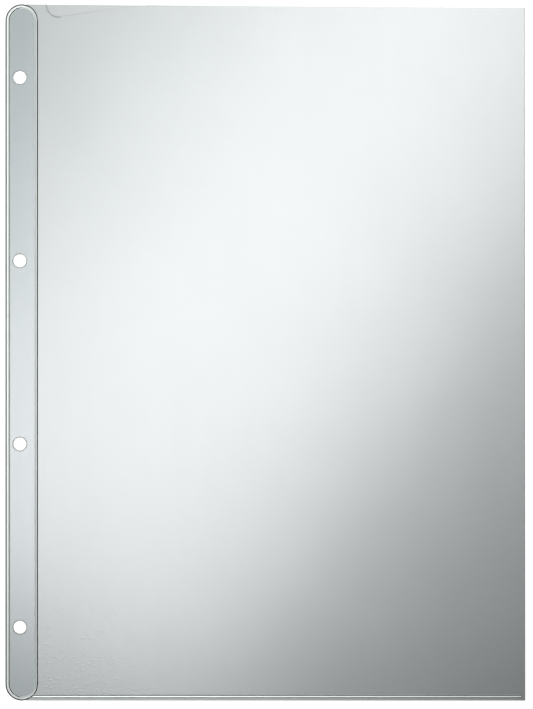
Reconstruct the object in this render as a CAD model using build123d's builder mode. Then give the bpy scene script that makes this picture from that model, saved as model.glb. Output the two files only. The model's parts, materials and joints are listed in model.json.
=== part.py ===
"""A clear punched pocket for loose sheets: folded film, welded round a reinforced binding edge.

It lies flat. X runs from the punched edge to the fold, Y runs up to the open mouth and Z points
away from the table. The origin is under the middle of the pocket.
"""

import os

from build123d import *

# Outline of the pocket, in millimetres.
pocket_width = 227.0
pocket_height = 304.0
mouth_drop = 1.4  # the mouth is cut this much lower at the fold than at the punched edge

# Film, and the strip between its two walls.
film = 0.12
strip_thickness = 0.45
strip_play = 0.3  # room between the strip and the weld round it

# Punched edge: a racetrack weld round the strip, wider on the free side than on the pocket side.
edge_width = 14.2
free_weld = 2.0
inner_weld = 1.5
hole_diameter = 5.5
hole_pitch = 80.0
hole_count = 4
hole_inset = 6.3  # free edge to the middle of a hole

# Weld beads: a rounded ridge that stands on the melted band.
bead_height = 0.2
bead_inset = 0.3

# Bend of the page beside the punched edge, and the crease on the far side.
bend_width = 3.0
corner_start = 2.0  # the film's corners begin this far past the middle of the punched edge
fold_depth = 2.0

# Weld along the bottom: a flat flange outside, the bead inside.
bottom_weld = 2.8
bottom_flange = 1.2

# Front wall: its middle lifts to open the mouth, and the film on both sides of it bends.
flank_width = 67.0
wall_clearance = 0.3

# Thumb notch in the front wall: a steep rounded end, then a long ramp back up to the mouth.
notch_start = 18.2  # free edge to the steep end
notch_length = 43.5
notch_depth = 6.3
notch_radius = 5.2

left = -pocket_width / 2
right = pocket_width / 2
bottom = -pocket_height / 2
top = pocket_height / 2

front_level = film + strip_thickness
stack = front_level + film
bead_round = 0.7 * bead_height

edge_x = left + edge_width / 2
edge_right = left + edge_width
core_width = edge_width - free_weld - inner_weld
core_height = pocket_height - 2 * free_weld
core_x = left + free_weld + core_width / 2
hole_x = left + hole_inset

bend_right = edge_right + bend_width
corner_x = edge_x + corner_start
fold_start = right - fold_depth
lift_left = bend_right + flank_width
lift_right = fold_start - flank_width
weld_top = bottom + bottom_weld
mouth_slope = mouth_drop / (right - edge_x)


def mouth_y(x):
    """Height of the mouth's sloping edge at x."""
    return top - mouth_slope * (x - edge_x)


def punched_plate(level, thickness, margin):
    """A plate with rounded ends inside the edge weld, with the row of ring holes through it."""
    with BuildPart() as plate:
        with BuildSketch(Plane.XY.offset(level)):
            with Locations((core_x, 0)):
                SlotOverall(core_height - 2 * margin, core_width - 2 * margin, rotation=90)
            with Locations((hole_x, 0)):
                with GridLocations(0, hole_pitch, 1, hole_count):
                    Circle(hole_diameter / 2, mode=Mode.SUBTRACT)
        extrude(amount=thickness)
    return plate


def film_wall(level, x_from, x_to, y_from, notched=False):
    """A flat stretch of film up to the mouth, cut back to the rounded ends of the punched edge."""
    notch_left = left + notch_start
    notch_right = notch_left + notch_length
    notch_top = mouth_y(notch_left) + notch_depth
    with BuildPart() as wall:
        with BuildSketch(Plane.XY.offset(level)):
            with BuildLine():
                Polyline(
                    (x_from, y_from),
                    (x_to, y_from),
                    (x_to, mouth_y(x_to)),
                    (x_from, mouth_y(x_from)),
                    close=True,
                )
            make_face()
            with Locations((edge_x, 0)):
                SlotOverall(pocket_height, edge_width, rotation=90, mode=Mode.SUBTRACT)
            if notched:
                with BuildLine():
                    FilletPolyline(
                        (notch_left, notch_top),
                        (notch_left, mouth_y(notch_left) - notch_depth),
                        (notch_right, mouth_y(notch_right)),
                        radius=notch_radius,
                    )
                    Polyline(
                        (notch_right, mouth_y(notch_right)),
                        (notch_right, notch_top),
                        (notch_left, notch_top),
                    )
                make_face(mode=Mode.SUBTRACT)
        extrude(amount=film)
    return wall


# Punched edge: two walls of film, the strip between them and the weld that seals them in.
edge_back_film = punched_plate(level=0, thickness=film, margin=0)
reinforcing_strip = punched_plate(level=film, thickness=strip_thickness, margin=strip_play)
edge_front_film = punched_plate(level=front_level, thickness=film, margin=0)

with BuildPart() as edge_weld:
    with BuildSketch():
        with Locations((edge_x, 0)):
            SlotOverall(pocket_height, edge_width, rotation=90)
        with Locations((core_x, 0)):
            SlotOverall(core_height, core_width, rotation=90, mode=Mode.SUBTRACT)
    extrude(amount=stack)
    with BuildSketch(Plane.XY.offset(stack)):
        with Locations((edge_x, 0)):
            SlotOverall(pocket_height - 2 * bead_inset, edge_width - 2 * bead_inset, rotation=90)
        with Locations((core_x, 0)):
            SlotOverall(
                core_height + 2 * bead_inset,
                core_width + 2 * bead_inset,
                rotation=90,
                mode=Mode.SUBTRACT,
            )
    extrude(amount=bead_height)
    fillet(edge_weld.edges().group_by(Axis.Z)[-1], bead_round)

# Bend beside the punched edge, where the page turns over.
bend_back_film = film_wall(0, corner_x, bend_right, bottom)
bend_front_film = film_wall(front_level, corner_x, bend_right, bottom, notched=True)

# Walls of the pocket. The front wall's middle lifts about the top of the bottom weld.
back_wall = film_wall(0, bend_right, fold_start, weld_top)
front_notch_film = film_wall(front_level, bend_right, lift_left, weld_top, notched=True)
front_wall = film_wall(
    front_level,
    lift_left + wall_clearance,
    lift_right - wall_clearance,
    weld_top + wall_clearance,
    notched=True,
)
front_fold_film = film_wall(front_level, lift_right, fold_start, weld_top)

# Crease on the far side, where the back wall's film turns over into the front wall's.
crease_x = right - stack / 2
fold_top = mouth_y(right)
with BuildPart() as fold_back_film:
    with BuildSketch(Plane.XZ.offset(-fold_top)):
        with BuildLine():
            Polyline((crease_x, film), (fold_start, film), (fold_start, 0), (crease_x, 0))
            TangentArc((crease_x, 0), (right, stack / 2), tangent=(1, 0))
            Line((right, stack / 2), (right - film, stack / 2))
            TangentArc((right - film, stack / 2), (crease_x, film), tangent=(0, -1))
        make_face()
    extrude(amount=fold_top - bottom)

with BuildPart() as fold_front_film:
    mirror(fold_back_film.part, about=Plane.XY.offset(stack / 2))

# Weld along the bottom edge, from the bend to the fold.
seam_length = fold_start - bend_right
seam_x = (fold_start + bend_right) / 2
bead_width = bottom_weld - bottom_flange - bead_inset
with BuildPart() as bottom_seam:
    with BuildSketch():
        with Locations((seam_x, bottom)):
            Rectangle(seam_length, bottom_weld, align=(Align.CENTER, Align.MIN))
    extrude(amount=stack)
    with BuildSketch(Plane.XY.offset(stack)):
        with Locations((seam_x, bottom + bottom_flange)):
            Rectangle(seam_length, bead_width, align=(Align.CENTER, Align.MIN))
    extrude(amount=bead_height)
    fillet(bottom_seam.edges().group_by(Axis.Z)[-1].filter_by(Axis.X), bead_round)

pieces = {
    "edge_back_film": edge_back_film,
    "reinforcing_strip": reinforcing_strip,
    "edge_front_film": edge_front_film,
    "edge_weld": edge_weld,
    "bend_back_film": bend_back_film,
    "bend_front_film": bend_front_film,
    "back_wall": back_wall,
    "front_notch_film": front_notch_film,
    "front_wall": front_wall,
    "front_fold_film": front_fold_film,
    "fold_back_film": fold_back_film,
    "fold_front_film": fold_front_film,
    "bottom_seam": bottom_seam,
}

os.makedirs("parts", exist_ok=True)
for label, piece in pieces.items():
    piece.part.label = label
    export_step(piece.part, f"parts/{label}.step")
    size = piece.part.bounding_box().size
    print(f"{label}: {size.X:.2f} x {size.Y:.2f} x {size.Z:.2f} mm")
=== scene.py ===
# %% [markdown]
# # A clear punched pocket for loose sheets
# The object is a pocket of folded plastic film. A stiff strip is sealed into its left edge and punched
# with four holes for a ring binder. We load the solids first, because they fix every size and place,
# and then build each piece of film, strip and weld again with the finish of the real thing.

# %% Load the solids
import json
import math

import bmesh
import bpy
from mathutils import Matrix, Vector


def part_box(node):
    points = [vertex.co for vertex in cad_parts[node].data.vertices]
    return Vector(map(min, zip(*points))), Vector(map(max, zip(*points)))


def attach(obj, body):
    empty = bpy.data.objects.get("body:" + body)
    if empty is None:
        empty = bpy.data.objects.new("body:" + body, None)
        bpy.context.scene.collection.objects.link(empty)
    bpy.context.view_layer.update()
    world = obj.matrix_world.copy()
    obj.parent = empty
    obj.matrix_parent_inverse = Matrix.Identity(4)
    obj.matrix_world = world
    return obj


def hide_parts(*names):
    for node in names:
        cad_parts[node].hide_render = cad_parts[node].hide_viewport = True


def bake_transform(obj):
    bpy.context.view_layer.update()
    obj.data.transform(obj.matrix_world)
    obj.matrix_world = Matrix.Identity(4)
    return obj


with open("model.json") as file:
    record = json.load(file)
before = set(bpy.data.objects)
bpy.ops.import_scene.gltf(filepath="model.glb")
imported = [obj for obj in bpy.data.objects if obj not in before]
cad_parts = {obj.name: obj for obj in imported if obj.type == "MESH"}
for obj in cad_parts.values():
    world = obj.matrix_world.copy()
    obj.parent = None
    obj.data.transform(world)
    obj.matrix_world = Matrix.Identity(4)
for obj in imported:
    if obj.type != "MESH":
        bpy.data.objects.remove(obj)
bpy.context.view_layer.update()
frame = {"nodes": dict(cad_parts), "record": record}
record = frame["record"]
print("pieces of the solid model:", sorted(frame["nodes"]))

# %% [markdown]
# ## Sizes
# Every length comes from the solids, in metres, so the pieces meet where the solids meet. Only the
# thumb notch is written here, because a box doesn't tell where its curve begins.

# %% Read the sizes
MM = 0.001

weld_low, weld_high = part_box("edge_weld")
core_low, core_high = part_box("edge_front_film")
strip_low, strip_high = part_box("reinforcing_strip")
bend_low, bend_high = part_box("bend_front_film")
seam_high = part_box("bottom_seam")[1]
fold_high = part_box("fold_back_film")[1]

left, edge_right = weld_low.x, weld_high.x
edge_x, edge_radius = (left + edge_right) / 2, (edge_right - left) / 2
bottom, top, right = weld_low.y, weld_high.y, fold_high.x
arc_y = top - edge_radius
corner_x, bend_right = bend_low.x, bend_high.x
fold_start, weld_top = seam_high.x, seam_high.y
lift_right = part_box("front_fold_film")[0].x
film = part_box("edge_back_film")[1].z
front_level, stack, bead_top = core_low.z, core_high.z, weld_high.z
mouth_slope = (top - fold_high.y) / (right - edge_x)

notch_start, notch_length = 18.2 * MM, 43.5 * MM
notch_depth, notch_radius = 6.3 * MM, 5.2 * MM
notch_left = left + notch_start

holes = [m for m in record["mounts"] if m["name"].startswith("ring_hole")]
print(f"pocket {(right - left) / MM:.1f} x {(top - bottom) / MM:.1f} mm, film {film / MM:.2f} mm")

# %% [markdown]
# ## Two small helpers
# A node tree is easier to read when each node is one call: its kind, its settings, and what goes into
# its inputs, either a number or the output of another node. Colours are written as a painter reads
# them, in sRGB hex, and turned into the linear numbers that Blender wants.


# %% Add a node, read a colour
def add_node(tree, kind, inputs=None, **settings):
    """Adds one node with its settings, and links or sets its inputs."""
    made = tree.nodes.new(kind)
    for name, value in settings.items():
        setattr(made, name, value)
    for key, value in (inputs or {}).items():
        for one in value if isinstance(value, list) else [value]:
            if isinstance(one, bpy.types.NodeSocket):
                tree.links.new(one, made.inputs[key])
            else:
                made.inputs[key].default_value = one
    return made


def linear(code):
    """Turns an sRGB hex colour into linear red, green, blue and a full alpha."""
    shares = [int(code[i : i + 2], 16) / 255 for i in (1, 3, 5)]
    return *[s / 12.92 if s <= 0.04045 else ((s + 0.055) / 1.055) ** 2.4 for s in shares], 1.0


print("mid grey as linear numbers:", [round(c, 3) for c in linear("#808080")])

# %% [markdown]
# ## Soft PVC film
# The walls are soft PVC, rolled out between hot drums. That leaves a satin skin, faint lines along the
# way the film was drawn, and a slight grey-green tint. A plain Principled shader with Alpha keeps the
# film see-through. A thin film mirrors from both of its faces, so its shine is set to twice that of a
# solid plastic, with a coat for the skin. Where the two welds meet, their heat has shrunk the film into
# short flat puckers.


# %% Colour and gloss of film
CLOUD_SIZE = 45 * MM
CLOUD_DETAIL = 3.0
# Real drawing lines are finer than a pixel, so they are drawn coarser here.
LINE_WIDTH, LINE_LENGTH = 2 * MM, 90 * MM
LINE_ROUGHNESS = 0.07
# The Mix node has sockets for each kind of data, and these are the numbers of its colours.
FIRST_COLOUR, SECOND_COLOUR, MIXED_COLOUR = 6, 7, 2


def film_colour(tree, place, dark, light, notes):
    """A clouded tint, and further tints where a number noted on the mesh lies in a range."""
    cloud = add_node(
        tree,
        "ShaderNodeTexNoise",
        {"Vector": place, "Scale": 1 / CLOUD_SIZE, "Detail": CLOUD_DETAIL},
    )
    colour = add_node(
        tree,
        "ShaderNodeMix",
        {
            "Factor": cloud.outputs["Fac"],
            FIRST_COLOUR: linear(dark),
            SECOND_COLOUR: linear(light),
        },
        data_type="RGBA",
    )
    for note, (start, end, tint) in notes.items():
        told = add_node(tree, "ShaderNodeAttribute", attribute_name=note)
        share = add_node(
            tree,
            "ShaderNodeMapRange",
            {"Value": told.outputs["Fac"], "From Min": start, "From Max": end},
            interpolation_type="SMOOTHSTEP",
        )
        colour = add_node(
            tree,
            "ShaderNodeMix",
            {
                "Factor": share.outputs["Result"],
                FIRST_COLOUR: colour.outputs[MIXED_COLOUR],
                SECOND_COLOUR: linear(tint),
            },
            data_type="RGBA",
        )
    return colour.outputs[MIXED_COLOUR]


def film_gloss(tree, place, gloss):
    """Roughness that varies in long thin lines up the page."""
    drawn = add_node(
        tree,
        "ShaderNodeMapping",
        {"Vector": place, "Scale": (1 / LINE_WIDTH, 1 / LINE_LENGTH, 1.0)},
    )
    streaks = add_node(
        tree,
        "ShaderNodeTexNoise",
        {"Vector": drawn.outputs["Vector"], "Scale": 1.0, "Detail": 1.0},
    )
    sheen = add_node(
        tree,
        "ShaderNodeMapRange",
        {"Value": streaks.outputs["Fac"], "To Min": gloss, "To Max": gloss + LINE_ROUGHNESS},
    )
    return sheen.outputs["Result"]


print(f"clouds {CLOUD_SIZE / MM:.0f} mm, drawing lines {LINE_WIDTH / MM:.0f} mm wide")

# %% Puckers in film
PUCKER_LENGTH, PUCKER_WIDTH = 2.6 * MM, 1.3 * MM
PUCKER_RADIUS = 0.3
PUCKERS_HIGHEST, PUCKERS_FAINTEST = 15 * MM, 85 * MM
FAINT_SHARE = 0.1


def film_puckers(tree, place, height):
    """A normal with short flat puckers, highest beside the corner where the two welds meet."""
    laid = add_node(
        tree,
        "ShaderNodeMapping",
        {"Vector": place, "Scale": (1 / PUCKER_LENGTH, 1 / PUCKER_WIDTH, 1.0)},
    )
    cells = add_node(
        tree, "ShaderNodeTexVoronoi", {"Vector": laid.outputs["Vector"], "Scale": 1.0}, feature="F1"
    )
    dots = add_node(
        tree,
        "ShaderNodeMapRange",
        {"Value": cells.outputs["Distance"], "From Max": PUCKER_RADIUS, "To Min": 1.0, "To Max": 0.0},
        interpolation_type="SMOOTHSTEP",
    )
    from_corner = add_node(
        tree,
        "ShaderNodeVectorMath",
        {0: place, 1: (edge_right, bottom, 0.0)},
        operation="DISTANCE",
    )
    shrunk = add_node(
        tree,
        "ShaderNodeMapRange",
        {
            "Value": from_corner.outputs["Value"],
            "From Min": PUCKERS_FAINTEST,
            "From Max": PUCKERS_HIGHEST,
            "To Min": FAINT_SHARE,
            "To Max": 1.0,
        },
    )
    puckers = add_node(
        tree,
        "ShaderNodeMath",
        {0: dots.outputs["Result"], 1: shrunk.outputs["Result"]},
        operation="MULTIPLY",
    )
    bump = add_node(tree, "ShaderNodeBump", {"Height": puckers.outputs[0], "Distance": height})
    return bump.outputs["Normal"]


print(f"puckers {PUCKER_LENGTH / MM:.1f} x {PUCKER_WIDTH / MM:.1f} mm apart")

# %% Film material
PVC_IOR = 1.53
SMOOTH = 0.002 * MM


def new_material(name):
    """A material with an empty tree and a Principled shader on its output."""
    material = bpy.data.materials.new(name)
    material.use_nodes = True
    tree = material.node_tree
    tree.nodes.clear()
    shader = add_node(tree, "ShaderNodeBsdfPrincipled")
    add_node(tree, "ShaderNodeOutputMaterial", {"Surface": shader.outputs["BSDF"]})
    return material, tree, shader


def soft_film(name, dark, light, clearness, gloss, shine=1.0, skin=1.0, pucker=SMOOTH, notes=None):
    """PVC with a clouded tint. Shine is its specular level, skin its coat, pucker a pucker's height."""
    material, tree, shader = new_material(name)
    place = add_node(tree, "ShaderNodeTexCoord").outputs["Object"]
    normal = film_puckers(tree, place, pucker)
    tree.links.new(film_colour(tree, place, dark, light, notes or {}), shader.inputs["Base Color"])
    tree.links.new(film_gloss(tree, place, gloss), shader.inputs["Roughness"])
    tree.links.new(normal, shader.inputs["Normal"])
    tree.links.new(normal, shader.inputs["Coat Normal"])
    for socket, value in {
        "IOR": PVC_IOR,
        "Specular IOR Level": shine,
        "Coat Weight": skin,
        "Coat Roughness": gloss,
        "Alpha": 1 - clearness,
    }.items():
        shader.inputs[socket].default_value = value
    return material


print("index of refraction of PVC:", PVC_IOR)

# %% [markdown]
# ## The finishes of this pocket
# Every piece is PVC, but each was treated in its own way, and the eye tells them apart by their
# clearness and gloss. A weld is cloudy where it melted. Its crest gets a painted highlight, a light
# tint, and its steep flanks get painted shade, a near-black tint, where the bead would bend the light
# aside.
# The weld tree further down notes both places on the mesh, as "crest" and "steep", and the welded
# finishes read them.

# %% Finishes
# Satin and half clear: the two walls together read as one silver sheet. The puckers are drawn higher
# than real ones, which would not show at this scale.
clear_film = soft_film(
    "soft_pvc_film_calendered", "#a7acac", "#afb4b4", clearness=0.55, gloss=0.36, pucker=0.085 * MM
)
# Pulled flat over the strip: clearer and a little glossier, so that the strip's own grey shows.
edge_film = soft_film("soft_pvc_film_over_strip", "#a5acad", "#adb4b5", clearness=0.7, gloss=0.31)
# Slit from a stiffer sheet: smooth, and bluer than the film round it.
stiff_strip = soft_film("rigid_pvc_strip_slit", "#8e9a9e", "#96a2a6", clearness=0.5, gloss=0.31)
# The cut edge of the notch: a thin grey line, darker than the film, without a skin.
cut_film = soft_film(
    "soft_pvc_film_cut_edge",
    "#7a8280",
    "#868e8c",
    clearness=0.4,
    gloss=0.35,
    shine=0.5,
    skin=0.0,
)
# Melted and set again: dull and nearly opaque. The notes paint a highlight on the crest, nearly white on
# the bottom weld, and near-black shade on the steep flanks. Each note has the number where its tint
# starts, the number where it is full, and the tint.
welded = {
    "dark": "#9aa19f",
    "light": "#a2a9a7",
    "clearness": 0.06,
    "gloss": 0.3,
    "shine": 0.15,
    "skin": 0.0,
}
melted_film = soft_film(
    "soft_pvc_film_welded",
    **welded,
    notes={"crest": (0.35, 0.8, "#bec3c1"), "steep": (0.05, 0.11, "#1c2220")},
)
# The bottom weld's finish: a nearly white painted highlight on the crest and near-black painted shade on
# the steep flanks.
painted_highlight_weld = soft_film(
    "soft_pvc_film_welded_painted_highlight",
    **welded,
    notes={"crest": (0.3, 0.7, "#eef2f0"), "steep": (0.05, 0.11, "#0c100f")},
)
finishes = (clear_film, edge_film, stiff_strip, cut_film, melted_film, painted_highlight_weld)
print("materials:", [finish.name for finish in finishes])

# %% [markdown]
# ## A tree for punched plates
# The binding edge is a sandwich of three plates with round ends, all punched by the same four pins.
# A Geometry Nodes tree draws one rounded outline, sets a circle on each point of a line, fills what
# lies between them and gives it thickness. All three plates use it with their own sizes.


# %% Start a tree and apply it
SAME_POINT = 1e-7
SHARP_ANGLE = math.radians(40)


def new_tree(name, sockets):
    """An empty Geometry Nodes tree with named inputs, and the sockets of its input node."""
    tree = bpy.data.node_groups.new(name, "GeometryNodeTree")
    for label, kind in {"Geometry": "NodeSocketGeometry", **sockets}.items():
        tree.interface.new_socket(label, in_out="INPUT", socket_type=kind)
    tree.interface.new_socket("Geometry", in_out="OUTPUT", socket_type="NodeSocketGeometry")
    return tree, add_node(tree, "NodeGroupInput").outputs


def finish_tree(tree, geometry, material):
    """Ends a tree with real geometry in its material."""
    real = add_node(tree, "GeometryNodeRealizeInstances", {"Geometry": geometry})
    dressed = add_node(
        tree,
        "GeometryNodeSetMaterial",
        {"Geometry": real.outputs["Geometry"], "Material": material},
    )
    add_node(tree, "NodeGroupOutput", {"Geometry": dressed.outputs["Geometry"]})


def settle(piece):
    """Points a closed shell's faces outwards, and smooths all but its sharp edges."""
    shell = bmesh.new()
    shell.from_mesh(piece.data)
    bmesh.ops.remove_doubles(shell, verts=shell.verts, dist=SAME_POINT)
    bmesh.ops.recalc_face_normals(shell, faces=shell.faces)
    shell.to_mesh(piece.data)
    shell.free()
    piece.data.shade_smooth()
    piece.data.set_sharp_from_angle(angle=SHARP_ANGLE)
    print(f"{piece.name}: {len(piece.data.polygons)} faces")
    return piece


def grow(name, start, tree, sizes):
    """Runs a tree on a starting mesh with the given sizes, and keeps the result as a plain mesh."""
    piece = bpy.data.objects.new(name, start)
    bpy.context.scene.collection.objects.link(piece)
    modifier = piece.modifiers.new("grow", "NODES")
    modifier.node_group = tree
    for item in tree.interface.items_tree:
        if item.in_out == "INPUT" and item.name in sizes:
            modifier[item.identifier] = sizes[item.name]
    grown = piece.evaluated_get(bpy.context.evaluated_depsgraph_get())
    mesh = bpy.data.meshes.new_from_object(grown)
    piece.modifiers.clear()
    piece.data = mesh
    return settle(piece)


print(f"edges stay sharp over {math.degrees(SHARP_ANGLE):.0f} degrees")

# %% Outline and holes of a plate
NUMBER, COUNT, FINISH = "NodeSocketFloat", "NodeSocketInt", "NodeSocketMaterial"
HOLE_SIDES = 56
END_STEPS = 24
NEARLY_HALF = 0.4999  # a fillet of exactly half the width would make two points meet

plate_sizes = (
    "Width",
    "Length",
    "Middle X",
    "Level",
    "Thickness",
    "Hole X",
    "Hole Radius",
    "Hole Pitch",
    "First Hole Y",
)
plate_tree, plate_in = new_tree(
    "punched_plate", {**dict.fromkeys(plate_sizes, NUMBER), "Hole Count": COUNT, "Finish": FINISH}
)
outline = add_node(
    plate_tree,
    "GeometryNodeCurvePrimitiveQuadrilateral",
    {"Width": plate_in["Width"], "Height": plate_in["Length"]},
)
end_radius = add_node(
    plate_tree, "ShaderNodeMath", {0: plate_in["Width"], 1: NEARLY_HALF}, operation="MULTIPLY"
)
rounded = add_node(
    plate_tree,
    "GeometryNodeFilletCurve",
    {"Curve": outline.outputs["Curve"], "Radius": end_radius.outputs[0], "Count": END_STEPS},
    mode="POLY",
)
plate_middle = add_node(plate_tree, "ShaderNodeCombineXYZ", {"X": plate_in["Middle X"]})
placed = add_node(
    plate_tree,
    "GeometryNodeTransform",
    {"Geometry": rounded.outputs["Curve"], "Translation": plate_middle.outputs["Vector"]},
)
first_hole = add_node(
    plate_tree,
    "ShaderNodeCombineXYZ",
    {"X": plate_in["Hole X"], "Y": plate_in["First Hole Y"]},
)
next_hole = add_node(plate_tree, "ShaderNodeCombineXYZ", {"Y": plate_in["Hole Pitch"]})
row = add_node(
    plate_tree,
    "GeometryNodeMeshLine",
    {
        "Count": plate_in["Hole Count"],
        "Start Location": first_hole.outputs["Vector"],
        "Offset": next_hole.outputs["Vector"],
    },
)
pin = add_node(
    plate_tree,
    "GeometryNodeCurvePrimitiveCircle",
    {"Resolution": HOLE_SIDES, "Radius": plate_in["Hole Radius"]},
)
pins = add_node(
    plate_tree,
    "GeometryNodeInstanceOnPoints",
    {"Points": row.outputs["Mesh"], "Instance": pin.outputs["Curve"]},
)
cuts = add_node(
    plate_tree, "GeometryNodeRealizeInstances", {"Geometry": pins.outputs["Instances"]}
)
print("sizes of a plate:", len(plate_sizes))

# %% Fill and thicken a plate
MERGE_REACH = 0.001 * MM

plate_lines = add_node(
    plate_tree,
    "GeometryNodeJoinGeometry",
    {"Geometry": [placed.outputs["Geometry"], cuts.outputs["Geometry"]]},
)
face = add_node(plate_tree, "GeometryNodeFillCurve", {"Curve": plate_lines.outputs["Geometry"]})
raised = add_node(
    plate_tree,
    "GeometryNodeExtrudeMesh",
    {"Mesh": face.outputs["Mesh"], "Offset Scale": plate_in["Thickness"], "Individual": False},
)
underside = add_node(plate_tree, "GeometryNodeFlipFaces", {"Mesh": face.outputs["Mesh"]})
both = add_node(
    plate_tree,
    "GeometryNodeJoinGeometry",
    {"Geometry": [raised.outputs["Mesh"], underside.outputs["Mesh"]]},
)
closed_plate = add_node(
    plate_tree,
    "GeometryNodeMergeByDistance",
    {"Geometry": both.outputs["Geometry"], "Distance": MERGE_REACH},
)
plate_level = add_node(plate_tree, "ShaderNodeCombineXYZ", {"Z": plate_in["Level"]})
lifted = add_node(
    plate_tree,
    "GeometryNodeTransform",
    {"Geometry": closed_plate.outputs["Geometry"], "Translation": plate_level.outputs["Vector"]},
)
finish_tree(plate_tree, lifted.outputs["Geometry"], plate_in["Finish"])
print("nodes in the plate tree:", len(plate_tree.nodes))

# %% [markdown]
# ## The sandwich of the binding edge
# From the table up: a wall of film, the stiff strip that takes the pull of the rings, and the second
# wall of film. The strip keeps a hair of air above and below, so that its faces never share a plane
# with the film, which would flicker.

# %% Three punched plates
AIR = 0.012 * MM

hole_x, hole_radius = holes[0]["pos_m"][0], holes[0]["dims"]["r_mm"] * MM
hole_rows = sorted(hole["pos_m"][1] for hole in holes)


def punched_plate(name, low, high, finish):
    """One plate of the sandwich, between two corners of a box."""
    return grow(
        name,
        bpy.data.meshes.new(name),
        plate_tree,
        {
            "Width": high.x - low.x,
            "Length": high.y - low.y,
            "Middle X": (low.x + high.x) / 2,
            "Level": low.z,
            "Thickness": high.z - low.z,
            "Hole X": hole_x,
            "Hole Radius": hole_radius,
            "Hole Pitch": hole_rows[1] - hole_rows[0],
            "First Hole Y": hole_rows[0],
            "Hole Count": len(hole_rows),
            "Finish": finish,
        },
    )


strip_low.z += AIR
strip_high.z -= AIR
edge_back = punched_plate("edge_back_wall", *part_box("edge_back_film"), edge_film)
edge_strip = punched_plate("edge_strip", strip_low, strip_high, stiff_strip)
edge_front = punched_plate("edge_front_wall", core_low, core_high, edge_film)

for piece, node, slot in (
    (edge_back, "edge_back_film", "clear_film"),
    (edge_strip, "reinforcing_strip", "stiff_strip"),
    (edge_front, "edge_front_film", "clear_film"),
):
    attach(piece, "binding_edge")
    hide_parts(node)

# %% [markdown]
# ## A tree for welds
# A hot bar presses the two walls together and leaves a band of melted film with a rounded bead on it.
# The band follows a path, so a tree sweeps a plain rectangle along one, and then lifts its upper side
# into a bead between two soft steps. The outer rim sags, and fine noise breaks the melt up. The tree
# notes where the crest is and how steep each face is, because the finish paints a highlight on the crest
# and shade on the steep faces. A sweep lays the section's X to the right of the path and its Y
# downwards, so the rectangle goes up with a minus.
# The sums are a list with a name for each, so that they read like formulas.

# %% Start the weld tree
weld_sizes = (
    "Band Width",
    "Thickness",
    "Level",
    "Bead From",
    "Bead To",
    "Outer Flank",
    "Inner Flank",
    "Bead Height",
    "Rim Width",
    "Rim Drop",
    "Free Side Extra",
    "Half Length",
    "Pocket Side X",
    "Pocket Flank",
    "Melt",
)
weld_tree, weld_in = new_tree(
    "weld_along_path", {**dict.fromkeys(weld_sizes, NUMBER), "Finish": FINISH}
)


def work_out(tree, known, sums):
    """Adds a node for each named sum. A term is a number, or the name of something known."""
    for name, rule, *terms in sums:
        values = [known[term] if isinstance(term, str) else term for term in terms]
        if rule == "SOFT_STEP":
            inputs = dict(zip(("Value", "From Min", "From Max"), values))
            step = add_node(tree, "ShaderNodeMapRange", inputs, interpolation_type="SMOOTHSTEP")
            known[name] = step.outputs["Result"]
        else:
            inputs = dict(enumerate(values))
            known[name] = add_node(tree, "ShaderNodeMath", inputs, operation=rule).outputs[0]


print("sizes of a weld:", len(weld_sizes))

# %% Sweep the band
SECTION_CUTS = 31
UPPER_SIDE = -0.49  # share of the thickness, counted downwards from the middle

spot = add_node(weld_tree, "GeometryNodeInputPosition").outputs["Position"]
spot_xyz = add_node(weld_tree, "ShaderNodeSeparateXYZ", {"Vector": spot}).outputs
known = {label: weld_in[label] for label in weld_sizes}
known.update({"x": spot_xyz["X"], "y": spot_xyz["Y"]})
work_out(
    weld_tree,
    known,
    [
        ("half width", "MULTIPLY", "Band Width", 0.5),
        ("share across", "DIVIDE", "x", "half width"),
        ("upper limit", "MULTIPLY", "Thickness", UPPER_SIDE),
        ("on top", "LESS_THAN", "y", "upper limit"),
        ("half thickness", "MULTIPLY", "Thickness", 0.5),
        ("middle level", "ADD", "Level", "half thickness"),
        ("section drop", "MULTIPLY", "middle level", -1.0),
    ],
)
path = add_node(weld_tree, "GeometryNodeMeshToCurve", {"Mesh": weld_in["Geometry"]})
level_path = add_node(
    weld_tree, "GeometryNodeSetCurveNormal", {"Curve": path.outputs["Curve"]}, mode="Z_UP"
)
rectangle = add_node(
    weld_tree,
    "GeometryNodeCurvePrimitiveQuadrilateral",
    {"Width": weld_in["Band Width"], "Height": weld_in["Thickness"]},
)
section = add_node(
    weld_tree,
    "GeometryNodeSubdivideCurve",
    {"Curve": rectangle.outputs["Curve"], "Cuts": SECTION_CUTS},
).outputs["Curve"]
for note, value in (("across", "share across"), ("upper", "on top")):
    section = add_node(
        weld_tree,
        "GeometryNodeStoreNamedAttribute",
        {"Geometry": section, "Name": note, "Value": known[value]},
        domain="POINT",
    ).outputs["Geometry"]
    found = add_node(weld_tree, "GeometryNodeInputNamedAttribute", {"Name": note})
    known[note] = found.outputs["Attribute"]
drop = add_node(weld_tree, "ShaderNodeCombineXYZ", {"Y": known["section drop"]})
profile = add_node(
    weld_tree, "GeometryNodeSetPosition", {"Geometry": section, "Offset": drop.outputs["Vector"]}
)
swept = add_node(
    weld_tree,
    "GeometryNodeCurveToMesh",
    {
        "Curve": level_path.outputs["Curve"],
        "Profile Curve": profile.outputs["Geometry"],
        "Fill Caps": True,
    },
)
print("faces across the top of a band:", SECTION_CUTS + 1)

# %% Sums for the bead
SIDE_BLEND = 4 * MM
GRAIN_SIZE = 3 * MM
UPRIGHT, SLOPING = 0.2, 0.45  # how level a cut side is at most, and a flank at least

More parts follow.
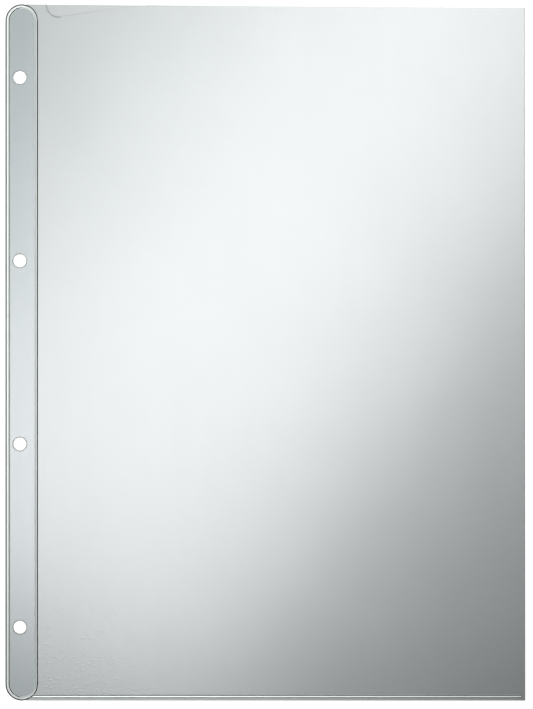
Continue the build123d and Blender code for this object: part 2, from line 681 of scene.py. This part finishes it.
grain = add_node(weld_tree, "ShaderNodeTexNoise", {"Vector": spot, "Scale": 1 / GRAIN_SIZE})
facing = add_node(weld_tree, "GeometryNodeInputNormal").outputs["Normal"]
facing_xyz = add_node(weld_tree, "ShaderNodeSeparateXYZ", {"Vector": facing}).outputs
known.update({"grain": grain.outputs["Fac"], "facing up": facing_xyz["Z"]})
work_out(
    weld_tree,
    known,
    [
        ("from outside", "SUBTRACT", 1.0, "across"),
        ("inward", "MULTIPLY", "from outside", "half width"),
        ("side start", "SUBTRACT", "Pocket Side X", SIDE_BLEND),
        ("side end", "ADD", "Pocket Side X", SIDE_BLEND),
        ("pocket side", "SOFT_STEP", "x", "side start", "side end"),
        ("flank gain", "SUBTRACT", "Pocket Flank", "Inner Flank"),
        ("gained", "MULTIPLY", "pocket side", "flank gain"),
        ("inner flank", "ADD", "Inner Flank", "gained"),
        ("rise end", "ADD", "Bead From", "Outer Flank"),
        ("fall start", "SUBTRACT", "Bead To", "inner flank"),
        ("rise", "SOFT_STEP", "inward", "Bead From", "rise end"),
        ("fallen", "SOFT_STEP", "inward", "fall start", "Bead To"),
        ("fall", "SUBTRACT", 1.0, "fallen"),
        ("crest", "MULTIPLY", "rise", "fall"),
        ("bead", "MULTIPLY", "crest", "Bead Height"),
        ("past rim", "SOFT_STEP", "inward", 0.0, "Rim Width"),
        ("sag", "SUBTRACT", 1.0, "past rim"),
        ("sunk", "MULTIPLY", "sag", "Rim Drop"),
        ("uneven", "SUBTRACT", "grain", 0.5),
        ("melt", "MULTIPLY", "uneven", "Melt"),
        ("bead and rim", "SUBTRACT", "bead", "sunk"),
        ("lift", "ADD", "bead and rim", "melt"),
        ("top crest", "MULTIPLY", "upper", "crest"),
        ("top lift", "MULTIPLY", "upper", "lift"),
        ("extra", "MULTIPLY", "across", "Free Side Extra"),
        ("extra left", "MULTIPLY", "extra", -1.0),
        ("height share", "DIVIDE", "y", "Half Length"),
        ("extra up", "MULTIPLY", "extra", "height share"),
        ("level", "ABSOLUTE", "facing up"),
        ("steep", "SUBTRACT", 1.0, "level"),
        ("not upright", "SOFT_STEP", "level", UPRIGHT, SLOPING),
        ("flank", "MULTIPLY", "steep", "not upright"),
    ],
)
print("nodes in the weld tree so far:", len(weld_tree.nodes))

# %% Raise the bead and widen the free side
# Note the crest, where the welded finishes paint a highlight.
crest_noted = add_node(
    weld_tree,
    "GeometryNodeStoreNamedAttribute",
    {"Geometry": swept.outputs["Mesh"], "Name": "crest", "Value": known["top crest"]},
    domain="POINT",
)
upwards = add_node(weld_tree, "ShaderNodeCombineXYZ", {"Z": known["top lift"]})
beaded = add_node(
    weld_tree,
    "GeometryNodeSetPosition",
    {"Geometry": crest_noted.outputs["Geometry"], "Offset": upwards.outputs["Vector"]},
)
outwards = add_node(
    weld_tree, "ShaderNodeCombineXYZ", {"X": known["extra left"], "Y": known["extra up"]}
)
widened = add_node(
    weld_tree,
    "GeometryNodeSetPosition",
    {"Geometry": beaded.outputs["Geometry"], "Offset": outwards.outputs["Vector"]},
)
# Note how steep each face is, where the welded finishes paint shade.
steep_noted = add_node(
    weld_tree,
    "GeometryNodeStoreNamedAttribute",
    {"Geometry": widened.outputs["Geometry"], "Name": "steep", "Value": known["flank"]},
    domain="FACE",
)
finish_tree(weld_tree, steep_noted.outputs["Geometry"], weld_in["Finish"])

FAR_AWAY = 1.0


def weld(name, path_of_weld, finish=melted_film, **sizes):
    """A weld along a path. Sizes that aren't given are nought, and the pocket side is far away."""
    sizes = {"half_length": top, "pocket_side_x": FAR_AWAY, **sizes}
    values = {label: sizes.get(label.lower().replace(" ", "_"), 0.0) for label in weld_sizes}
    return grow(name, path_of_weld, weld_tree, {**values, "Finish": finish})


print("nodes in the weld tree:", len(weld_tree.nodes))

# %% [markdown]
# ## The weld round the strip
# This bead runs round the strip like a racetrack: down the free edge, round the lower end, up beside
# the pocket and round the upper end. The band is wider on the free side, where the bar also cuts the
# edge, so the tree pushes its outer side out there and pulls it in on the other. Its inner flank is
# steep on the free side and gentle beside the pocket.


# %% Paths for welds
END_TURN = 40
WELD_STEP = 2 * MM


def path_mesh(name, points, closed):
    """A line of edges through the points, for a tree to follow."""
    count = len(points)
    edges = [(i, (i + 1) % count) for i in range(count if closed else count - 1)]
    mesh = bpy.data.meshes.new(name)
    mesh.from_pydata(points, edges, [])
    return mesh


def racetrack(middle_x, radius, half_length):
    """Points round a long loop with round ends, walked so that its outside is on the right."""
    straight = half_length - radius
    along = max(2, round(2 * straight / WELD_STEP))
    points = []
    for end in (1, -1):
        for i in range(END_TURN):
            angle = math.pi * (1 - i / END_TURN) if end > 0 else -math.pi * i / END_TURN
            points.append(
                (middle_x + radius * math.cos(angle), end * straight + radius * math.sin(angle), 0)
            )
        for i in range(along):
            points.append((middle_x + end * radius, end * straight * (1 - 2 * i / along), 0))
    return points[::-1]


print(f"weld sections every {WELD_STEP / MM:.0f} mm")

# %% Racetrack weld
BEAD_SHARE = 1.4  # the bead is this much higher than the solid's, so that it shows at this scale
MELT_NOISE = 0.002 * MM

core_radius = (core_high.x - core_low.x) / 2
core_x = (core_low.x + core_high.x) / 2
free_band, inner_band = core_low.x - left, edge_right - core_high.x
bead_rise = BEAD_SHARE * (bead_top - stack)
loop = racetrack((edge_x + core_x) / 2, (edge_radius + core_radius) / 2, (top + core_high.y) / 2)
# Its welded finish paints a highlight on the crest and shade on the steep flanks and the sagging rim.
# The gentle flank beside the pocket is too flat to take much of the painted shade.
edge_weld = weld(
    "edge_weld_bead",
    path_mesh("edge_weld_path", loop, True),
    band_width=(free_band + inner_band) / 2,
    thickness=stack,
    bead_from=0.25 * MM,
    bead_to=1.65 * MM,
    outer_flank=0.3 * MM,
    inner_flank=0.45 * MM,
    bead_height=bead_rise,
    rim_width=0.4 * MM,
    rim_drop=0.4 * MM,
    free_side_extra=(free_band - inner_band) / 4,
    pocket_side_x=edge_x,
    pocket_flank=1.2 * MM,
    melt=MELT_NOISE,
)
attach(edge_weld, "binding_edge")
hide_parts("edge_weld")
print("weld box:", [round(c / MM, 2) for c in (*edge_weld.bound_box[0], *edge_weld.bound_box[6])])

# %% [markdown]
# ## Burrs round the holes
# A blunt punch pushes up a thin burr round each hole. It is a small bead on a round path, so the weld
# tree makes all four at once, from one mesh with four loops in it.

# %% Punch burrs
burr_width, burr_height = 0.5 * MM, 0.1 * MM
burr_radius = hole_radius + burr_width / 2
ring_points, ring_edges = [], []
for hole in holes:
    first = len(ring_points)
    for i in range(HOLE_SIDES):
        angle = -2 * math.pi * i / HOLE_SIDES
        ring_points.append(
            (
                hole["pos_m"][0] + burr_radius * math.cos(angle),
                hole["pos_m"][1] + burr_radius * math.sin(angle),
                0,
            )
        )
        ring_edges.append((first + i, first + (i + 1) % HOLE_SIDES))
burr_path = bpy.data.meshes.new("burr_path")
burr_path.from_pydata(ring_points, ring_edges, [])
# The burrs take the welded finish: a painted highlight on their crest and painted shade on their flanks,
# which draws a dark ring round each hole.
burrs = weld(
    "punch_burrs",
    burr_path,
    band_width=burr_width,
    thickness=3 * AIR,
    level=stack - 2 * AIR,
    bead_to=burr_width,
    outer_flank=0.2 * MM,
    inner_flank=0.25 * MM,
    bead_height=burr_height,
    rim_width=0.1 * MM,
)
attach(burrs, "binding_edge")

# %% [markdown]
# ## Sheets of film
# A wall of film is a thin skin, so we lay out its middle surface as a grid of quads and let Solidify
# give it thickness. Its columns run across the page and its rows up it. Rows crowd towards the mouth,
# where the notch is cut, and columns crowd where the page bends. Long shallow ripples keep a wall from
# looking like glass.


# %% Outlines of the film
ROUNDING = 1e-6  # keeps a step that fits exactly from being counted twice


def mouth_y(x):
    """Height of the mouth's sloping edge at x."""
    return top - mouth_slope * (x - edge_x)


def end_y(x):
    """Height of the round upper end of the binding edge at x, or where it begins, past its side."""
    reach = min(abs(x - edge_x), edge_radius)
    return arc_y + math.sqrt(edge_radius**2 - reach**2)


def spread(start, end, step):
    """Evenly spaced numbers from start to end, no further apart than step."""
    count = max(1, math.ceil(abs(end - start) / step - ROUNDING))
    return [start + (end - start) * i / count for i in range(count + 1)]


def joined(*runs):
    """Several runs of numbers as one, each value once."""
    values = []
    for run in runs:
        values += [v for v in run if not values or abs(v - values[-1]) > SAME_POINT]
    return values


print(f"mouth from {mouth_y(edge_x) / MM:.1f} to {mouth_y(right) / MM:.1f} mm")


# %% A sheet from its middle surface
def film_sheet(name, bands, finish):
    """A closed skin of film from bands of a middle surface: lines of (x, z), low, high, shares, lift."""
    shell = bmesh.new()
    for line, low, high, shares, lift_of in bands:
        grid = []
        for x, z in line:
            y0, y1 = low(x), high(x)
            ys = [y0 + (y1 - y0) * share for share in shares]
            grid.append([shell.verts.new((x, y, z + lift_of(x, y, z))) for y in ys])
        for here, there in zip(grid, grid[1:]):
            for i in range(len(shares) - 1):
                shell.faces.new((here[i], there[i], there[i + 1], here[i + 1]))
    bmesh.ops.remove_doubles(shell, verts=shell.verts, dist=SAME_POINT)
    bmesh.ops.recalc_face_normals(shell, faces=shell.faces)
    mesh = bpy.data.meshes.new(name)
    shell.to_mesh(mesh)
    shell.free()
    mesh.materials.append(finish)
    piece = bpy.data.objects.new(name, mesh)
    bpy.context.scene.collection.objects.link(piece)
    skin = piece.modifiers.new("skin", "SOLIDIFY")
    skin.thickness, skin.offset = film, 0.0
    solid = piece.evaluated_get(bpy.context.evaluated_depsgraph_get())
    piece.data = bpy.data.meshes.new_from_object(solid)
    piece.modifiers.clear()
    return settle(piece)


# %% Ripples
STILL_MARGIN = 30 * MM
BACK_RIPPLE, FRONT_RIPPLE = 0.06 * MM, 0.08 * MM
BACK_PHASE, FRONT_PHASE = 0.9, 2.3


def fade(value, start, end):
    """A soft step from 0 at start to 1 at end."""
    t = min(max((value - start) / (end - start), 0.0), 1.0)
    return t * t * (3 - 2 * t)


def ripple(x, y, phase):
    """Long shallow waves in a wall of film, from 0 to 1, still at the welds, the bend and the fold."""
    held = (
        fade(x, bend_right, bend_right + STILL_MARGIN)
        * fade(x, fold_start, fold_start - STILL_MARGIN)
        * fade(y, weld_top, weld_top + STILL_MARGIN)
    )
    # Three waves that cross each other, with lengths in millimetres.
    turn = 2 * math.pi / MM
    waves = (
        0.45 * math.sin(turn * (x / 83 + y / 140) + phase)
        + 0.33 * math.sin(turn * (x / 57 - y / 96) + 2.1 * phase)
        + 0.22 * math.sin(turn * (y / 61 + x / 190) + 3.7 * phase)
    )
    return held * (0.5 + 0.5 * waves)


def back_lift(x, y, z):
    """The back wall's ripples, which only rise, because the table is under it."""
    return BACK_RIPPLE * ripple(x, y, BACK_PHASE) if z < film else 0.0


def front_lift(x, y, z):
    """The front wall's ripples."""
    return FRONT_RIPPLE * ripple(x, y, FRONT_PHASE)


def still(x, y, z):
    """No lift at all."""
    return 0.0


print(f"ripples up to {FRONT_RIPPLE / MM:.2f} mm")

# %% [markdown]
# ## The back wall and the fold
# One sheet makes the back wall. It starts at the weld beside the strip, runs flat past the place where
# the page turns to the far side and folds over there into the front. Its corners reach in under the
# round ends of the strip.

# %% Columns of the back wall
WIDE_STEP, CORNER_STEP, BEND_STEP, FOLD_STEP = 4 * MM, 0.5 * MM, 0.15 * MM, 0.6 * MM
CREASE_TURN = 8
ROW_SHARE, END_ROW_SHARE = 1 / 56, 0.1

back_mid, front_mid = film / 2, front_level + film / 2
crease_radius = (front_mid - back_mid) / 2
crease_x = right - stack / 2
bend_columns = joined(
    spread(corner_x, edge_right, CORNER_STEP), spread(edge_right, bend_right, BEND_STEP)
)
back_line = [
    (x, back_mid)
    for x in joined(
        bend_columns,
        spread(bend_right, fold_start, WIDE_STEP),
        spread(fold_start, crease_x, FOLD_STEP),
    )
]
for i in range(1, CREASE_TURN + 1):
    angle = math.pi * i / CREASE_TURN
    back_line.append(
        (
            crease_x + crease_radius * math.sin(angle),
            back_mid + crease_radius * (1 - math.cos(angle)),
        )
    )
back_line += [(x, front_mid) for x in spread(crease_x, fold_start, FOLD_STEP)[1:]]
main_line = [point for point in back_line if point[0] >= edge_right - SAME_POINT]
print("columns of the back wall:", len(back_line))

# %% Back wall
end_shares = spread(0, 1, END_ROW_SHARE)
main_shares = spread(0, 1, ROW_SHARE)
back_wall = film_sheet(
    "back_wall_film",
    [
        (back_line, lambda x: bottom, lambda x: -end_y(x), end_shares, back_lift),
        (main_line, lambda x: -arc_y, lambda x: arc_y, main_shares, back_lift),
        (back_line, end_y, mouth_y, end_shares, back_lift),
    ],
    clear_film,
)
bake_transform(back_wall)
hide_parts("bend_back_film", "back_wall", "fold_back_film", "fold_front_film")

# %% [markdown]
# ## The front wall
# The front is made of three sheets that meet edge to edge: a narrow one where the page turns, a wide
# one with the thumb notch, and one that leads back down to the fold. Their waves run on from sheet to
# sheet. The narrow one leaves room in its lower corner for the tail of the bottom weld.

# %% Bend of the front wall
TAIL_REACH = 2.3 * MM
TAIL_STEP = 0.3 * MM

tail_start = edge_right - TAIL_REACH
tail_free = edge_x + math.sqrt(edge_radius**2 - (arc_y + weld_top) ** 2)
bend_line = [(x, front_mid) for x in bend_columns]
bend_main = [point for point in bend_line if point[0] >= edge_right - SAME_POINT]
corner_line = [(x, front_mid) for x in spread(corner_x, tail_start, CORNER_STEP)]
tail_line = [(x, front_mid) for x in spread(tail_free, edge_right, TAIL_STEP)] + bend_main[1:]
front_bend = film_sheet(
    "front_bend_film",
    [
        (corner_line, lambda x: bottom, lambda x: -end_y(x), end_shares, still),
        (tail_line, lambda x: weld_top, lambda x: -end_y(x), end_shares, still),
        (bend_main, lambda x: -arc_y, lambda x: arc_y, main_shares, still),
        (bend_line, end_y, mouth_y, end_shares, still),
    ],
    clear_film,
)
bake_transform(front_bend)
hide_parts("bend_front_film")

# %% Thumb notch
notch_right = notch_left + notch_length
notch_low = mouth_y(notch_left) - notch_depth
ramp_angle = math.atan2(mouth_y(notch_right) - notch_low, notch_length)
tangent = notch_radius / math.tan((math.pi / 2 - ramp_angle) / 2)
arc_middle_x, arc_middle_y = notch_left + notch_radius, notch_low + tangent
arc_end = notch_left + tangent * math.cos(ramp_angle)


def cut_y(x):
    """Height of the front wall's upper edge at x, along the mouth or the thumb notch."""
    if not notch_left <= x < notch_right:
        return mouth_y(x)
    if x < arc_end:
        reach = min(abs(arc_middle_x - x), notch_radius)
        return arc_middle_y - math.sqrt(notch_radius**2 - reach**2)
    return notch_low + (x - notch_left) * math.tan(ramp_angle)


print(f"notch {notch_length / MM:.1f} mm long, {notch_depth / MM:.1f} mm deep")

# %% Front wall with the notch
NEAR_MOUTH = (0, 0.12, 0.25, 0.4, 0.6, 0.9, 1.4, 2, 3, 4.5, 7)  # rows below the cut, in mm
MOUTH_BAND = 9 * MM
NOTCH_SIDE = 0.01 * MM  # the notch's steep side is this wide
NOTCH_STEP, RAMP_STEP, ARC_STEP = 0.1 * MM, 1.5 * MM, 0.1

wall_height = top - weld_top
front_shares = joined(
    spread(0, 1 - MOUTH_BAND / wall_height, ROW_SHARE),
    [1 - d * MM / wall_height for d in reversed(NEAR_MOUTH)],
)
arc_columns = [
    arc_middle_x - notch_radius * math.cos(a)
    for a in spread(0, math.acos((arc_middle_x - arc_end) / notch_radius), ARC_STEP)
]
notch_columns = joined(
    spread(bend_right, notch_left - NOTCH_SIDE, NOTCH_STEP),
    arc_columns,
    spread(arc_end, notch_right, RAMP_STEP),
    spread(notch_right, lift_right, WIDE_STEP),
)


def front_sheet(name, columns):
    """A sheet of the front wall, from the bottom weld up to the mouth or the notch."""
    line = [(x, front_mid) for x in columns]
    return film_sheet(
        name, [(line, lambda x: weld_top, cut_y, front_shares, front_lift)], clear_film
    )


front_main = front_sheet("front_wall_film", notch_columns)
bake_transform(front_main)
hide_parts("front_notch_film", "front_wall")

# %% [markdown]
# ## The cut edge of the notch
# The edge of the notch is drawn as a thin grey line, darker than the film, down its steep side and round
# its arc. The ramp is cut so flat that its edge hardly shows. It is a low bead on a path, so the weld
# tree makes it.

# %% Cut edge
CUT_ARC_STEP = 0.08

cut_width, cut_height = 0.4 * MM, 0.06 * MM
cut_reach = notch_radius + cut_width / 2
cut_x = notch_left - cut_width / 2
cut_path = [(cut_x, y, 0) for y in spread(mouth_y(notch_left), arc_middle_y, CORNER_STEP)]
for angle in spread(0, math.pi / 2 + ramp_angle, CUT_ARC_STEP)[1:]:
    cut_path.append(
        (
            arc_middle_x - cut_reach * math.cos(angle),
            arc_middle_y - cut_reach * math.sin(angle),
            0,
        )
    )
cut_edge = weld(
    "notch_cut_edge",
    path_mesh("notch_path", cut_path[::-1], False),
    finish=cut_film,
    band_width=cut_width,
    thickness=3 * AIR,
    level=stack - 2 * AIR,
    bead_to=cut_width,
    outer_flank=0.15 * MM,
    inner_flank=0.2 * MM,
    bead_height=cut_height,
    rim_width=0.1 * MM,
)
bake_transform(cut_edge)

# %% [markdown]
# ## The far side of the front
# Past the wide sheet with the notch, the last sheet of the front leads down to the fold.

# %% Far side of the front
FAR_STEP = 3 * MM

front_fold = front_sheet("front_fold_side_film", spread(lift_right, fold_start, FAR_STEP))
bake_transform(front_fold)
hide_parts("front_fold_film")

# %% [markdown]
# ## The weld along the bottom
# The same bar closes the bottom: a flat flange at the edge, then the bead. The weld lies on the back
# wall, from the bend to the fold. A short tail of it leads on over the bend to the racetrack.

# %% Bottom weld
flange, bead_width, bead_flank = 1.05 * MM, 1.4 * MM, 0.45 * MM


def bottom_weld(name, x_from, x_to, step):
    """A straight run of the bottom weld, walked so that its outside faces the bottom edge."""
    y = (bottom + weld_top) / 2
    return weld(
        name,
        path_mesh(name + "_path", [(x, y, 0) for x in spread(x_from, x_to, step)], False),
        # This finish paints a nearly white highlight on the crest and near-black shade on the steep
        # flanks.
        finish=painted_highlight_weld,
        band_width=weld_top - bottom,
        thickness=stack - film - AIR,
        level=film + AIR,
        bead_from=flange,
        bead_to=flange + bead_width,
        outer_flank=bead_flank,
        inner_flank=bead_flank,
        bead_height=bead_rise,
        rim_width=0.2 * MM,
        rim_drop=0.05 * MM,
        melt=MELT_NOISE,
    )


seam = bottom_weld("bottom_weld_bead", bend_right, fold_start, WELD_STEP)
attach(seam, "pocket_back")
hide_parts("bottom_seam")

tail = bottom_weld("bottom_weld_tail", tail_start, bend_right, BEND_STEP)
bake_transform(tail)

# %% [markdown]
# ## Camera
# The photograph looks straight down on the flat pocket. A long lens at 0.9 m keeps the lines square,
# and its width is set from the height of the picture at the film.

# %% Camera
VIEW_HEIGHT = 309.5 * MM
CAMERA_HEIGHT = 0.9
VIEW_X, VIEW_Y = 0.48 * MM, -0.92 * MM
SENSOR_WIDTH = 36

scene = bpy.context.scene
lens = bpy.data.cameras.new("camera")
lens.sensor_width = SENSOR_WIDTH
lens.lens = SENSOR_WIDTH * CAMERA_HEIGHT / VIEW_HEIGHT
camera = bpy.data.objects.new("camera", lens)
camera.location = (VIEW_X, VIEW_Y, stack + CAMERA_HEIGHT)
scene.collection.objects.link(camera)
scene.camera = camera
print(f"lens {lens.lens:.1f} mm")

# %% [markdown]
# ## Floor
# A sheet of white paper. The camera, and anything glossy, sees it nearly white by its own light, and
# what falls on it adds the rest, so it keeps the shadow. Seen through the film it shows only the
# light that the film lets down to it.

# %% White paper floor
PAPER_GLOW = 0.9
FLOOR_REACH, FLOOR_LEVEL = 3.0, -0.05 * MM

paper, paper_tree, paper_shader = new_material("white_paper_matt")
paper_rays = add_node(paper_tree, "ShaderNodeLightPath").outputs
ray_names = ("Is Camera Ray", "Is Glossy Ray", "Is Transmission Ray", "Transparent Depth")
paper_light = {name: paper_rays[name] for name in ray_names}
work_out(
    paper_tree,
    paper_light,
    [
        ("camera or gloss", "MAXIMUM", "Is Camera Ray", "Is Glossy Ray"),
        ("seen", "MAXIMUM", "camera or gloss", "Is Transmission Ray"),
        ("direct", "LESS_THAN", "Transparent Depth", 0.5),
        ("seen directly", "MULTIPLY", "seen", "direct"),
        ("glow", "MULTIPLY", "seen directly", PAPER_GLOW),
    ],
)
paper_tree.links.new(paper_light["glow"], paper_shader.inputs["Emission Strength"])
for socket, value in {
    "Base Color": linear("#a8a8a8"),
    "Roughness": 0.9,
    "Specular IOR Level": 0.0,
    "Emission Color": linear("#ffffff"),
}.items():
    paper_shader.inputs[socket].default_value = value

corners = [(-1, -1), (1, -1), (1, 1), (-1, 1)]
floor_mesh = bpy.data.meshes.new("floor")
floor_mesh.from_pydata(
    [(x * FLOOR_REACH, y * FLOOR_REACH, FLOOR_LEVEL) for x, y in corners], [], [(0, 1, 2, 3)]
)
floor_mesh.materials.append(paper)
floor = bpy.data.objects.new("floor", floor_mesh)
scene.collection.objects.link(floor)
print(f"floor {2 * FLOOR_REACH:.0f} m wide")

# %% [markdown]
# ## Light
# One long soft box hangs over the page at a slant. The satin film mirrors it as a wide blurred band,
# and that is the silver gradient: brightest along a diagonal, and grey in the corner far from the box.
# A pale room surrounds it, darker overhead than at its walls. Diffuse rays see little of the room, so
# that the box alone sets how bright the colours are.

# %% Soft box
BOX_POWER = 4.7
BOX_LENGTH, BOX_WIDTH = 0.86, 0.26
BOX_PLACE = (0.092, 0.208, 0.349)
BOX_FACING = (-0.284, 0.458, -1)
BOX_ALONG = (0.48, 0.877, 0)

lamp = bpy.data.lights.new("soft_box", "AREA")
lamp.shape = "RECTANGLE"
lamp.energy, lamp.size, lamp.size_y = BOX_POWER, BOX_LENGTH, BOX_WIDTH
soft_box = bpy.data.objects.new("soft_box", lamp)
back = -Vector(BOX_FACING).normalized()
side = Vector(BOX_ALONG)
side = (side - back * side.dot(back)).normalized()
soft_box.rotation_euler = Matrix((side, back.cross(side), back)).transposed().to_euler()
soft_box.location = BOX_PLACE
soft_box.visible_camera = False
scene.collection.objects.link(soft_box)
print(f"soft box {BOX_LENGTH:.2f} x {BOX_WIDTH:.2f} m, {BOX_POWER} W")

# %% Room
WALLS_END, CEILING_START = 0.1, 0.9  # heights on a unit sphere
WALL_LIGHT, CEILING_LIGHT = 1.0, 0.05
DIFFUSE_CUT = 0.9
FILM_LAYERS = 32  # surfaces of film that a ray may pass

room = bpy.data.worlds.new("room")
room.use_nodes = True
room_tree = room.node_tree
room_tree.nodes.clear()
way = add_node(room_tree, "ShaderNodeTexCoord").outputs["Generated"]
way_xyz = add_node(room_tree, "ShaderNodeSeparateXYZ", {"Vector": way}).outputs
walls = add_node(
    room_tree,
    "ShaderNodeMapRange",
    {
        "Value": way_xyz["Z"],
        "From Min": WALLS_END,
        "From Max": CEILING_START,
        "To Min": WALL_LIGHT,
        "To Max": CEILING_LIGHT,
    },
    interpolation_type="SMOOTHSTEP",
)
room_rays = add_node(room_tree, "ShaderNodeLightPath").outputs
room_light = {"walls": walls.outputs["Result"], "Is Diffuse Ray": room_rays["Is Diffuse Ray"]}
work_out(
    room_tree,
    room_light,
    [
        ("cut", "MULTIPLY", "Is Diffuse Ray", -DIFFUSE_CUT),
        ("left over", "ADD", "cut", 1.0),
        ("strength", "MULTIPLY", "walls", "left over"),
    ],
)
sky = add_node(
    room_tree,
    "ShaderNodeBackground",
    {"Color": linear("#ffffff"), "Strength": room_light["strength"]},
)
add_node(room_tree, "ShaderNodeOutputWorld", {"Surface": sky.outputs["Background"]})
room.cycles.sampling_method = "NONE"
scene.world = room
scene.view_settings.view_transform = "Standard"
scene.cycles.transparent_max_bounces = FILM_LAYERS
print("room:", WALL_LIGHT, "at the walls,", CEILING_LIGHT, "overhead")
